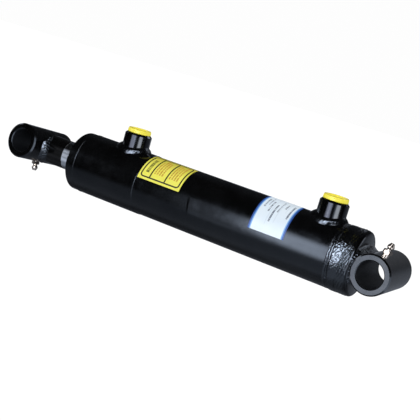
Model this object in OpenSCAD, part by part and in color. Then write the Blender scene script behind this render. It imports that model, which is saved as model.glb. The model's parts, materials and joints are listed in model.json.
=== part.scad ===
// Double-acting welded hydraulic cylinder with cross-tube pin eyes.
// Origin: centre of the base pin bore. +X runs along the barrel to the rod end,
// +Z points to the ports, and Y is the axis of the base pin. Drawn fully retracted.

/* [Barrel] */
// Cylinder bore
bore_d = 50.8; // [50.6:0.1:51]
// Outside diameter of the barrel tube
tube_od = 63.5; // [63.3:0.1:63.7]
// Outside diameter of the thicker head collar
collar_od = 64.4; // [64.2:0.1:64.8]
// Rod end of the barrel tube, where the collar starts
collar_x = 261.2; // [261:0.1:264]
// Rod end of the collar, where the gland flange seats
collar_end_x = 339.5; // [339.5:0.5:341]

/* [Rod] */
// Rod diameter
rod_d = 31.75; // [31.6:0.05:31.8]
// Stroke of the rod
stroke = 203.2; // [150:0.2:203.2]
// Distance between the pin centres when retracted
closed_length = 412.75; // [412:0.25:420]
// Turn of the rod eye about the rod, from the base pin's direction
rod_eye_turn = 6; // [-90:1:90]

/* [Pin eyes] */
// Outside diameter of both cross tubes
eye_od = 38.1; // [38:0.1:38.4]
// Length of both cross tubes
eye_len = 69.85; // [66:0.05:76]
// Pin bore of both cross tubes
pin_bore_d = 25.66; // [25.4:0.02:26]
// Chamfer round the mouth of each pin bore
bore_chamfer = 0.8; // [0.4:0.1:1]
// Chamfer round the outside of each cross tube
eye_chamfer = 1.4; // [0.6:0.1:1.6]

/* [Ports] */
// Base-side port position along the barrel
base_port_x = 62; // [60:0.5:64]
// Rod-side port position along the barrel
rod_port_x = 290.5; // [290:0.5:292]
// Outside diameter of each port boss
boss_d = 28.8; // [28:0.1:29.5]
// Height of each boss top above the barrel axis
boss_top = 48.5; // [47:0.5:50]
// Bore of each port under its thread
port_bore_d = 17.5; // [17:0.1:18]
// Oil hole through the barrel wall
flow_d = 12; // [10:0.5:12.5]
// Outside diameter of each shipping plug's flange
plug_d = 24.9; // [24:0.1:26]

/* [Grease fittings] */
// Hexagon size across flats
hex_af = 7.94; // [7:0.02:8.2]
// Place of the base fitting along its cross tube
base_grease_y = 24; // [15:1:26]
// Lean of the base fitting, away from the barrel
base_grease_lean = 15; // [0:1:25]
// Bare thread under the base fitting's hexagon
base_grease_lift = 3.3; // [0.1:0.1:4]
// Place of the rod fitting along its cross tube
rod_grease_y = 3; // [-15:1:15]
// Lean of the rod fitting, towards the barrel
rod_grease_lean = 8; // [0:1:20]

/* [Hidden] */
$fn = 96;

black_paint = [0.07, 0.07, 0.075];
bare_steel = [0.62, 0.63, 0.65];
chrome = [0.8, 0.82, 0.85];
cap_yellow = [0.98, 0.9, 0.35];
zinc_gold = [0.82, 0.72, 0.5];
seal_green = [0.15, 0.35, 0.25];
rubber_black = [0.05, 0.05, 0.05];
wear_brown = [0.5, 0.35, 0.2];
label_yellow = [0.97, 0.93, 0.45];
label_white = [0.95, 0.96, 0.98];

bore_r = bore_d / 2;
tube_r = tube_od / 2;
collar_r = collar_od / 2;
rod_r = rod_d / 2;
eye_r = eye_od / 2;
pin_bore_r = pin_bore_d / 2;
boss_r = boss_d / 2;
port_r = port_bore_d / 2;
flow_r = flow_d / 2;

// Base cap and the weld that joins it to the tube
cap_x = eye_r + 0.45;           // outer face, just clear of the cross tube
cap_round = 2.5;                // rounding of the outer edge
cap_shoulder_x = cap_x + 10.5;  // start of the weld groove on the outside
cap_bevel = 4.2;                // depth of each side of the weld groove
cap_spigot_gap = 0.05;          // spigot clearance in the bore
cap_inner_x = 46;               // inner face
tube_start_x = 38;              // base end of the tube at its bore
weld_crown = 1.2;               // height of the weld over the tube

// Joint between the tube and the collar
joint_depth = 6;
joint_r = bore_r + 3.6;
fit_gap = 0.05;

// Gland, screwed into the collar
gland_seat_x = collar_end_x;
gland_face_x = gland_seat_x + 11;
gland_nose_x = gland_seat_x - 39.5;
gland_flange_r = collar_r - 0.3;
nose_bore_r = bore_r + 1.6;     // smooth bore round the gland's O-ring
gland_thread_r = bore_r + 3.1;
thread_start_x = gland_seat_x - 21.5;
gland_clearance = 0.325;        // gland bore over the rod
static_groove_x = gland_nose_x + 5;
static_groove_w = 5.5;
static_groove_r = 23.9;
wear_x = gland_nose_x + 8;
wear_w = 16;
wear_groove_r = rod_r + 2.525;
rod_seal_x = gland_seat_x - 11.5;
rod_seal_w = 7;
rod_seal_groove_r = rod_r + 4.525;
wiper_x = gland_face_x - 7;
wiper_r = rod_r + 4.125;
spanner_hole_d = 5;
spanner_circle_r = 25.5;

// Piston, nut and the rod's stepped end
piston_gap = 0.3;               // from the gland's nose at full stroke, and round the piston
piston_front_x = gland_nose_x - piston_gap - stroke;
piston_len = 28;
piston_rear_x = piston_front_x - piston_len;
piston_r = bore_r - piston_gap;
spigot_r = 11.1;
rod_thread_r = 10.85;
nut_len = 16;
nut_collar_len = 2.5;
nut_af = 34;
rod_tail_x = piston_rear_x - nut_len - 2.5;
seal_groove_x = piston_rear_x + 16.5;
seal_groove_w = 7.2;
seal_groove_r = 19.9;
guide_groove_x = piston_rear_x + 3;
guide_groove_w = 9.6;
guide_groove_r = 22.9;
inner_groove_x = piston_rear_x + 12.5;
inner_groove_w = 3;
inner_groove_r = 13.4;
running_gap = 0.04;             // seals and guide rings against the bore or the rod
groove_gap = 0.1;               // rings against the sides of their grooves

// Labels: start and end along X, and angles from +Y up towards +Z
label_t = 0.2;
yellow_label_x = [209, 260];
yellow_label_angle = [17.3, 86];
white_label_x = [88.4, 126.4];
white_label_angle = [2.2, 90];

// Grease fittings, measured up from the bottom of the hexagon
shank_r = 3.1;
shank_gap = 0.05;
shank_end = pin_bore_r + 0.5;   // shank's inner end from the cross tube's axis
hex_h = 3.2;
neck_r = 2.3;
head_r = 3.3;
head_h = 10.2;
passage_r = 1.36;
tip_hole_r = 1;
tip_hole_h = 0.5;
ball_r = 1.3;
ball_z = head_h - tip_hole_h - sqrt(ball_r * ball_r - tip_hole_r * tip_hole_r) - 0.03;
spring_floor = 1.6;
spring_len = 5;
spring_r = 1.1;
spring_wire = 0.3;
spring_turns = 5;
base_hex_z = eye_r + base_grease_lift;
rod_hex_z = eye_r + 0.1;

// Points of an arc about c, from angle a to angle b
function arc(c, r, a, b, n = 8) =
    [for (i = [0:n]) c + r * [cos(a + (b - a) * i / n), sin(a + (b - a) * i / n)]];

// Turn a part drawn up the Z axis so that it lies along X, or along Y
module along_x() rotate([0, 90, 0]) children();
module along_y() rotate([-90, 0, 0]) children();

// Solid of revolution about the barrel axis from [radius, x] points
module turned_x(points) along_x() rotate_extrude() polygon(points);

// Plain ring about the barrel axis
module ring_x(r_in, r_out, x0, x1) {
    turned_x([[r_in, x0], [r_out, x0], [r_out, x1], [r_in, x1]]);
}

// O-ring about the barrel axis
module o_ring_x(r_mid, r_cord, x) {
    along_x() translate([0, 0, x]) rotate_extrude() translate([r_mid, 0]) circle(r_cord);
}

// Round bar about the barrel axis, for cutting
module bar_x(r, x0, x1) translate([x0, 0, 0]) along_x() cylinder(r = r, h = x1 - x0);

// Cut through one side of a split ring
module ring_split(x0, x1, r) translate([x0 - 1, -1, 0]) cube([x1 - x0 + 2, 2, r + 2]);

// Radial oil hole through the top of the barrel wall
module flow_hole(x) translate([x, 0, bore_r - 6]) cylinder(r = flow_r, h = 20);

// Frame of the rod eye, turned about the rod
module at_rod_eye() translate([closed_length, 0, 0]) rotate([rod_eye_turn, 0, 0]) children();

// Frames of the two grease fittings, +Z along the fitting and z = 0 on the cross tube's axis
module at_base_fitting() translate([0, base_grease_y, 0]) rotate([0, -base_grease_lean, 0]) children();
module at_rod_fitting() {
    at_rod_eye() translate([0, rod_grease_y, 0]) rotate([0, 180 + rod_grease_lean, 0]) children();
}

// ---- Barrel ----

module barrel_tube() color(black_paint) {
    difference() {
        turned_x([
            [bore_r, tube_start_x], [tube_r, tube_start_x + cap_bevel], [tube_r, collar_x],
            [joint_r, collar_x], [joint_r, collar_x + joint_depth], [bore_r, collar_x + joint_depth]
        ]);
        flow_hole(base_port_x);
    }
}

module head_collar() color(black_paint) {
    edge = 0.4;
    difference() {
        turned_x([
            [joint_r + fit_gap, collar_x], [collar_r - edge, collar_x], [collar_r, collar_x + edge],
            [collar_r, collar_end_x - edge], [collar_r - edge, collar_end_x],
            [gland_thread_r + fit_gap, collar_end_x], [gland_thread_r + fit_gap, thread_start_x],
            [nose_bore_r, thread_start_x], [nose_bore_r, gland_nose_x - 1], [bore_r, gland_nose_x - 1],
            [bore_r, collar_x + joint_depth + 0.1], [joint_r + fit_gap, collar_x + joint_depth + 0.1]
        ]);
        flow_hole(rod_port_x);
    }
}

module base_cap() color(black_paint) {
    spigot_r = bore_r - cap_spigot_gap;
    turned_x(concat(
        [[0, cap_x]],
        arc([tube_r - cap_round, cap_x + cap_round], cap_round, -90, 0),
        [
            [tube_r, cap_shoulder_x], [spigot_r, cap_shoulder_x + cap_bevel],
            [spigot_r, cap_inner_x - 1], [spigot_r - 1, cap_inner_x],
            [14, cap_inner_x], [13, cap_inner_x - 1], [0, cap_inner_x - 1]
        ]
    ));
}

// Groove weld between the cap and the tube, with a low crown over both
module barrel_base_weld() color(black_paint) {
    turned_x([
        [bore_r, cap_shoulder_x + cap_bevel + 0.1], [bore_r, tube_start_x - 0.1],
        [tube_r, tube_start_x + cap_bevel], [tube_r, tube_start_x + cap_bevel + 0.5],
        [tube_r + 0.6 * weld_crown, tube_start_x + cap_bevel], [tube_r + weld_crown, tube_start_x - 1],
        [tube_r + weld_crown, cap_shoulder_x + 2], [tube_r + 0.6 * weld_crown, cap_shoulder_x - 3.5],
        [tube_r, cap_shoulder_x - 5.5], [tube_r, cap_shoulder_x]
    ]);
}

// ---- Pin eyes ----

// Cross tube along Y, chamfered at both ends
module cross_tube() {
    half = eye_len / 2;
    along_y() rotate_extrude() polygon([
        [pin_bore_r + bore_chamfer, -half], [eye_r - eye_chamfer, -half], [eye_r, -half + eye_chamfer],
        [eye_r, half - eye_chamfer], [eye_r - eye_chamfer, half], [pin_bore_r + bore_chamfer, half],
        [pin_bore_r, half - bore_chamfer], [pin_bore_r, -half + bore_chamfer]
    ]);
}

// Tapped hole for a grease fitting, in the fitting's frame
module grease_hole() translate([0, 0, pin_bore_r - 2]) cylinder(r = shank_r + shank_gap, h = 10);

module base_cross_tube() color(black_paint) {
    difference() {
        cross_tube();
        at_base_fitting() grease_hole();
    }
}

module rod_cross_tube() color(black_paint) {
    difference() {
        at_rod_eye() cross_tube();
        at_rod_fitting() grease_hole();
    }
}

// Fillets that fill the corner between the base cross tube and the cap's face
module base_eye_weld() color(black_paint) {
    reach_z = 21;
    toe_x = 9;
    toe_z = 16.8;
    rim_r = tube_r + 1.3;
    intersection() {
        rotate([90, 0, 0]) linear_extrude(height = 80, center = true) polygon([
            [toe_x, toe_z], [cap_x + 1, reach_z], [cap_x + 6, toe_z],
            [cap_x + 6, -toe_z], [cap_x + 1, -reach_z], [toe_x, -toe_z]
        ]);
        difference() {
            turned_x([
                [0, toe_x], [rim_r - 1.2, toe_x], [rim_r, cap_x - 4], [rim_r, cap_x + 2],
                [tube_r, cap_x + 5.4], [0, cap_x + 5.4]
            ]);
            along_y() cylinder(r = eye_r, h = eye_len + 2, center = true);
            turned_x(concat(
                [[0, cap_x]],
                arc([tube_r - cap_round, cap_x + cap_round], cap_round, -90, 0),
                [[tube_r, cap_x + 8], [0, cap_x + 8]]
            ));
        }
    }
}

// Weld all round the rod's saddle against its cross tube
module rod_eye_weld() color(black_paint) {
    root_x = closed_length - eye_r;
    difference() {
        turned_x([
            [rod_r, root_x - 5], [rod_r + 1.6, root_x - 3.2], [rod_r + 3.1, root_x + 0.8],
            [rod_r + 3.5, root_x + 5], [rod_r + 3.1, root_x + 10], [rod_r, root_x + 10]
        ]);
        at_rod_eye() along_y() cylinder(r = eye_r, h = eye_len + 2, center = true);
    }
}

// ---- Ports ----

// Weld-on boss standing on a round surface of radius seat_r
module port_boss(x, seat_r) {
    top_bevel = 1.9;
    mouth_r = port_r + 1.6;
    mouth_h = 2.5;
    floor_z = seat_r + 2.5;
    difference() {
        translate([x, 0, 0]) rotate_extrude() polygon([
            [flow_r, seat_r - 10], [boss_r, seat_r - 10], [boss_r, boss_top - top_bevel],
            [boss_r - top_bevel, boss_top], [mouth_r, boss_top], [port_r, boss_top - mouth_h],
            [port_r, floor_z], [flow_r, floor_z]
        ]);
        bar_x(seat_r, x - 30, x + 30);
    }
}

// Fillet weld round the foot of a boss
module port_weld(x, seat_r) {
    leg = 4.8;
    difference() {
        translate([x, 0, 0]) rotate_extrude() polygon([
            [boss_r, seat_r - 8], [boss_r + leg, seat_r - 8], [boss_r + leg, seat_r - 3],
            [boss_r + leg - 0.6, seat_r + 0.2], [boss_r + 1.8, seat_r + 1.9], [boss_r, seat_r + leg]
        ]);
        bar_x(seat_r, x - 30, x + 30);
    }
}

// Push-in plastic plug: flange with a shallow dish, hollow tapered stem
module port_plug(x) {
    flange_z = boss_top + 0.05;
    flange_h = 4.45;
    flange_r = plug_d / 2;
    stem_r = port_r - 0.07;
    stem_tip_r = port_r - 0.5;
    stem_z = boss_top - 11;
    wall = 1.3;
    dish_r = 8;
    dish_h = 1.1;
    difference() {
        translate([x, 0, 0]) rotate_extrude() polygon([
            [0, flange_z + flange_h - dish_h], [dish_r, flange_z + flange_h - dish_h],
            [dish_r + 0.6, flange_z + flange_h], [flange_r - 0.9, flange_z + flange_h],
            [flange_r - 0.2, flange_z + flange_h - 0.9], [flange_r, flange_z + 0.5],
            [flange_r - 0.4, flange_z], [stem_r, flange_z], [stem_r, flange_z - 5],
            [stem_tip_r, stem_z], [stem_tip_r - wall, stem_z], [stem_r - wall, flange_z - 1],
            [0, flange_z - 1]
        ]);
    }
}

module base_port_boss() color(black_paint) port_boss(base_port_x, tube_r);
module rod_port_boss() color(black_paint) port_boss(rod_port_x, collar_r);
module base_port_weld() color(black_paint) port_weld(base_port_x, tube_r);
module rod_port_weld() color(black_paint) port_weld(rod_port_x, collar_r);
module base_port_plug() color(cap_yellow) port_plug(base_port_x);
module rod_port_plug() color(cap_yellow) port_plug(rod_port_x);

// ---- Gland and its seals ----

module gland() color(black_paint) {
    hole_r = rod_r + gland_clearance;
    nose_r = nose_bore_r - fit_gap;
    groove_end_x = static_groove_x + static_groove_w;
    difference() {
        turned_x([
            [hole_r + 0.8, gland_nose_x], [nose_r - 0.7, gland_nose_x], [nose_r, gland_nose_x + 1],
            [nose_r, static_groove_x], [static_groove_r, static_groove_x],
            [static_groove_r, groove_end_x], [nose_r, groove_end_x], [nose_r, thread_start_x],
            [gland_thread_r, thread_start_x + 1.2], [gland_thread_r, gland_seat_x - 3.5],
            [gland_thread_r - 1, gland_seat_x - 3.5], [gland_thread_r - 1, gland_seat_x],
            [gland_flange_r - 0.5, gland_seat_x], [gland_flange_r, gland_seat_x + 0.5],
            [gland_flange_r, gland_face_x - 1.5], [gland_flange_r - 1.5, gland_face_x],
            [wiper_r, gland_face_x], [wiper_r, wiper_x], [hole_r, wiper_x],
            [hole_r, rod_seal_x + rod_seal_w], [rod_seal_groove_r, rod_seal_x + rod_seal_w],
            [rod_seal_groove_r, rod_seal_x], [hole_r, rod_seal_x],
            [hole_r, wear_x + wear_w], [wear_groove_r, wear_x + wear_w],
            [wear_groove_r, wear_x], [hole_r, wear_x], [hole_r, gland_nose_x + 0.8]
        ]);
        for (side = [-1, 1])
            translate([gland_face_x - 5, 0, side * spanner_circle_r])
                along_x() cylinder(d = spanner_hole_d, h = 10);
    }
}

module gland_o_ring() color(rubber_black) {
    cord_r = 1.5;
    o_ring_x(static_groove_r + cord_r + 0.05, cord_r, static_groove_x + cord_r + 0.3);
}

module gland_backup_ring() color(label_white) {
    x0 = static_groove_x + 3.8;
    ring_x(static_groove_r + 0.05, nose_bore_r - 0.1, x0, x0 + 1.5);
}

// Lip seal that grips the rod, open towards the oil
module rod_seal() color(seal_green) {
    lip_r = rod_r + running_gap;
    back_r = rod_seal_groove_r - 0.05;
    x0 = rod_seal_x + groove_gap;
    x1 = rod_seal_x + rod_seal_w - groove_gap;
    turned_x([
        [lip_r, x0 + 0.9], [lip_r + 0.6, x0], [lip_r + 1.7, x0], [lip_r + 2.2, x0 + 3.2],
        [lip_r + 2.8, x0], [back_r - 0.4, x0], [back_r, x0 + 0.8], [back_r, x1],
        [lip_r + 0.25, x1], [lip_r + 0.25, x0 + 3], [lip_r, x0 + 2]
    ]);
}

module rod_wear_ring() color(wear_brown) {
    difference() {
        ring_x(rod_r + running_gap, wear_groove_r - 0.05, wear_x + groove_gap, wear_x + wear_w - groove_gap);
        ring_split(wear_x, wear_x + wear_w, wear_groove_r);
    }
}

// Wiper pressed into the gland's face, its lip standing proud round the rod
module rod_wiper() color(rubber_black) {
    body_r = rod_r + 0.8;
    lip_r = rod_r + running_gap;
    turned_x([
        [body_r, wiper_x + 0.1], [wiper_r - 0.02, wiper_x + 0.1], [wiper_r - 0.02, gland_face_x - 0.2],
        [wiper_r - 1.4, gland_face_x + 0.2], [body_r + 0.4, gland_face_x + 2.8],
        [lip_r, gland_face_x + 2.4], [lip_r, gland_face_x + 1.8], [body_r, gland_face_x - 1.5]
    ]);
}

// ---- Piston and rod ----

module piston() color(bare_steel) {
    edge = 0.8;
    guide_end_x = guide_groove_x + guide_groove_w;
    seal_end_x = seal_groove_x + seal_groove_w;
    hole_r = spigot_r + fit_gap;
    turned_x([
        [hole_r, piston_rear_x], [piston_r - edge, piston_rear_x], [piston_r, piston_rear_x + edge],
        [piston_r, guide_groove_x], [guide_groove_r, guide_groove_x],
        [guide_groove_r, guide_end_x], [piston_r, guide_end_x],
        [piston_r, seal_groove_x], [seal_groove_r, seal_groove_x],
        [seal_groove_r, seal_end_x], [piston_r, seal_end_x],
        [piston_r, piston_front_x - edge], [piston_r - edge, piston_front_x], [hole_r, piston_front_x],
        [hole_r, inner_groove_x + inner_groove_w], [inner_groove_r, inner_groove_x + inner_groove_w],
        [inner_groove_r, inner_groove_x], [hole_r, inner_groove_x]
    ]);
}

module piston_seal() color(seal_green) {
    x0 = seal_groove_x + groove_gap;
    x1 = seal_groove_x + seal_groove_w - groove_gap;
    outer_r = bore_r - running_gap;
    turned_x([
        [22.6, x0], [outer_r - 0.4, x0], [outer_r, x0 + 0.8],
        [outer_r, x1 - 0.8], [outer_r - 0.4, x1], [22.6, x1]
    ]);
}

module piston_energizer() color(rubber_black) {
    cord_r = 1.25;
    o_ring_x(seal_groove_r + 0.08 + cord_r, cord_r, seal_groove_x + seal_groove_w / 2);
}

module piston_wear_ring() color(wear_brown) {
    x0 = guide_groove_x + groove_gap;
    x1 = guide_groove_x + guide_groove_w - groove_gap;
    difference() {
        ring_x(guide_groove_r + 0.06, bore_r - running_gap, x0, x1);
        ring_split(x0, x1, bore_r);
    }
}

module piston_o_ring() color(rubber_black) {
    cord_r = 1.1;
    o_ring_x(spigot_r + 0.05 + cord_r, cord_r, inner_groove_x + inner_groove_w / 2);
}

// Hexagon lock nut with a round collar on its free side
module piston_nut() color(bare_steel) {
    hex_r = nut_af / 2 / cos(30);
    bevel = 1.4;
    x0 = piston_rear_x - nut_len;
    x1 = x0 + nut_collar_len;
    difference() {
        union() {
            intersection() {
                translate([x1, 0, 0]) along_x() cylinder(r = hex_r, h = piston_rear_x - x1, $fn = 6);
                turned_x([
                    [0, x1], [hex_r - bevel, x1], [hex_r, x1 + bevel],
                    [hex_r, piston_rear_x - bevel], [hex_r - bevel, piston_rear_x], [0, piston_rear_x]
                ]);
            }
            bar_x(nut_af / 2 - 1.5, x0, x1);
        }
        bar_x(rod_thread_r + fit_gap, x0 - 1, piston_rear_x + 1);
    }
}

// Rod with a stepped, threaded tail and a saddle cut to fit its cross tube
module rod() color(chrome) {
    difference() {
        turned_x([
            [0, rod_tail_x], [rod_thread_r - 1, rod_tail_x], [rod_thread_r, rod_tail_x + 1],
            [rod_thread_r, piston_rear_x], [spigot_r, piston_rear_x + 0.5], [spigot_r, piston_front_x],
            [rod_r - 0.9, piston_front_x], [rod_r, piston_front_x + 0.9],
            [rod_r, closed_length - 5], [0, closed_length - 5]
        ]);
        at_rod_eye() along_y() cylinder(r = eye_r, h = eye_len, center = true);
    }
}

// ---- Grease fittings ----

// Straight fitting with its hexagon's lower face at hex_z, in the fitting's frame
module grease_fitting(hex_z) {
    shank_len = hex_z - shank_end;
    translate([0, 0, hex_z]) difference() {
        union() {
            rotate_extrude() polygon([
                [0, -shank_len], [shank_r - 0.5, -shank_len], [shank_r, -shank_len + 0.5],
                [shank_r, 0], [shank_r, hex_h], [neck_r, hex_h], [neck_r, hex_h + 1.3],
                [head_r - 0.4, hex_h + 2.2], [head_r, hex_h + 3], [head_r, hex_h + 4.2],
                [head_r - 0.7, hex_h + 5.6], [tip_hole_r + 0.9, head_h], [0, head_h]
            ]);
            intersection() {
                cylinder(d = hex_af / cos(30), h = hex_h, $fn = 6);
                rotate_extrude() polygon([
                    [0, 0], [hex_af / 2 + 0.1, 0], [hex_af / 2 + 0.7, 0.5],
                    [hex_af / 2 + 0.7, hex_h - 0.5], [hex_af / 2 + 0.1, hex_h], [0, hex_h]
                ]);
            }
        }
        translate([0, 0, spring_floor]) cylinder(r = passage_r, h = head_h - tip_hole_h - spring_floor);
        translate([0, 0, spring_floor - 40]) cylinder(r = 0.8, h = 45);
        translate([0, 0, head_h - tip_hole_h - 1]) cylinder(r = tip_hole_r, h = tip_hole_h + 2);
    }
}

module grease_ball(hex_z) translate([0, 0, hex_z + ball_z]) sphere(ball_r, $fn = 48);

// Helical spring swept as one closed tube
module grease_spring(hex_z) {
    sides = 8;
    steps = spring_turns * 12;
    rise = spring_len - spring_wire;
    function ring_point(i, j) =
        let (a = 360 * spring_turns * i / steps, b = 360 * j / sides, r = spring_r + spring_wire / 2 * cos(b))
        [r * cos(a), r * sin(a), spring_wire / 2 * (1 + sin(b)) + rise * i / steps];
    points = [for (i = [0:steps], j = [0:sides - 1]) ring_point(i, j)];
    walls = [
        for (i = [0:steps - 1], j = [0:sides - 1])
            let (k = (j + 1) % sides)
            [i * sides + j, (i + 1) * sides + j, (i + 1) * sides + k, i * sides + k]
    ];
    first_end = [for (j = [0:sides - 1]) j];
    last_end = [for (j = [sides - 1:-1:0]) steps * sides + j];
    translate([0, 0, hex_z + spring_floor + 0.05])
        polyhedron(points = points, faces = concat(walls, [first_end, last_end]), convexity = 6);
}

module base_grease_fitting() color(zinc_gold) at_base_fitting() grease_fitting(base_hex_z);
module base_grease_ball() color(bare_steel) at_base_fitting() grease_ball(base_hex_z);
module base_grease_spring() color(bare_steel) at_base_fitting() grease_spring(base_hex_z);
module rod_grease_fitting() color(zinc_gold) at_rod_fitting() grease_fitting(rod_hex_z);
module rod_grease_ball() color(bare_steel) at_rod_fitting() grease_ball(rod_hex_z);
module rod_grease_spring() color(bare_steel) at_rod_fitting() grease_spring(rod_hex_z);

// ---- Labels ----

// Thin patch on the tube; angles run from +Y up towards +Z
module label(x, angle) {
    along_x() rotate([0, 0, 90 + angle[0]]) rotate_extrude(angle = angle[1] - angle[0])
        polygon([[tube_r, x[0]], [tube_r + label_t, x[0]], [tube_r + label_t, x[1]], [tube_r, x[1]]]);
}

module yellow_label() color(label_yellow) label(yellow_label_x, yellow_label_angle);
module white_label() color(label_white) label(white_label_x, white_label_angle);

// ---- Assembly ----

barrel_tube();
head_collar();
base_cap();
barrel_base_weld();
base_cross_tube();
base_eye_weld();
base_port_boss();
rod_port_boss();
base_port_weld();
rod_port_weld();
base_port_plug();
rod_port_plug();
gland();
gland_o_ring();
gland_backup_ring();
rod_seal();
rod_wear_ring();
rod_wiper();
base_grease_fitting();
base_grease_ball();
base_grease_spring();
yellow_label();
white_label();
piston_seal();
piston_energizer();
piston_wear_ring();
piston();
piston_o_ring();
piston_nut();
rod();
rod_cross_tube();
rod_eye_weld();
rod_grease_fitting();
rod_grease_ball();
rod_grease_spring();
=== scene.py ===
"""Looks of a welded hydraulic cylinder: materials, weld beads, labels, light and camera.

Lengths are in millimetres up to the last section, and are turned into metres where they reach
Blender. The frame is the CAD's: X along the barrel, Y along the base pin, Z up.
"""

import json
import math

import bmesh
import bpy
from mathutils import Matrix, Vector, noise

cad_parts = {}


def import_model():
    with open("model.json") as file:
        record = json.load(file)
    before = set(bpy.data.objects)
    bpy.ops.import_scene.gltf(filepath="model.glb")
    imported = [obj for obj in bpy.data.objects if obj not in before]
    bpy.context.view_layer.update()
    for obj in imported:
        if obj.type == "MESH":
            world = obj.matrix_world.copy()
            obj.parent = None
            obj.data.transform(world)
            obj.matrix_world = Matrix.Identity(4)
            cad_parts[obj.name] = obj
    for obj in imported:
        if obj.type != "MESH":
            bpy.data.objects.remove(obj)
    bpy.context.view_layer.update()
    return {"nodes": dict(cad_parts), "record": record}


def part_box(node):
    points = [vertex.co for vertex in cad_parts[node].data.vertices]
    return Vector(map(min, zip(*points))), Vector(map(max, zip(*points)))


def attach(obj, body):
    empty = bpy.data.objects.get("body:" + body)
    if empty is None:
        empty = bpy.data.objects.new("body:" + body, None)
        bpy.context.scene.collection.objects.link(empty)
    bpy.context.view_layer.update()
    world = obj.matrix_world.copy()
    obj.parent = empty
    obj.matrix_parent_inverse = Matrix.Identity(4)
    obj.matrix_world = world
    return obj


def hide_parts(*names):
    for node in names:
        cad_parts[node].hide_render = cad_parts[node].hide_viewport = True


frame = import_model()
nodes = frame["nodes"]
MM = 0.001


def box_mm(name):
    """A CAD node's lowest and highest corners, in millimetres."""
    low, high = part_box(name)
    return low / MM, high / MM


def boss_place(name):
    """The place along the barrel and the radius of a port boss or plug."""
    low, high = box_mm(name)
    return (low.x + high.x) / 2, (high.x - low.x) / 2


# ---- Sizes taken from the CAD model ----

TUBE_R = box_mm("barrel_tube")[1].z
COLLAR_START, COLLAR_END = (corner.x for corner in box_mm("head_collar"))
COLLAR_R = box_mm("head_collar")[1].z
EYE_R = box_mm("base_cross_tube")[1].x
CAP_X = box_mm("base_cap")[0].x
ROD_R = box_mm("rod")[1].z
PLUG_TOP = box_mm("base_port_plug")[1].z
BASE_PORT_X, BOSS_R = boss_place("base_port_boss")
ROD_PORT_X = boss_place("rod_port_boss")[0]
rod_pin = next(m for m in frame["record"]["mounts"] if m["name"] == "rod_pin_bore")
ROD_EYE_X = rod_pin["pos_m"][0] / MM
PIN_BORE_R = rod_pin["dims"]["r_mm"]
ROD_EYE_TURN = math.atan2(rod_pin["axis"][2], rod_pin["axis"][1])

# Places along X of the rod's paint edge and the barrel's run line
PAINTED_FROM = 369.3
RUN_LINE_X = 194.6


# ---- Material helpers ----


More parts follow.
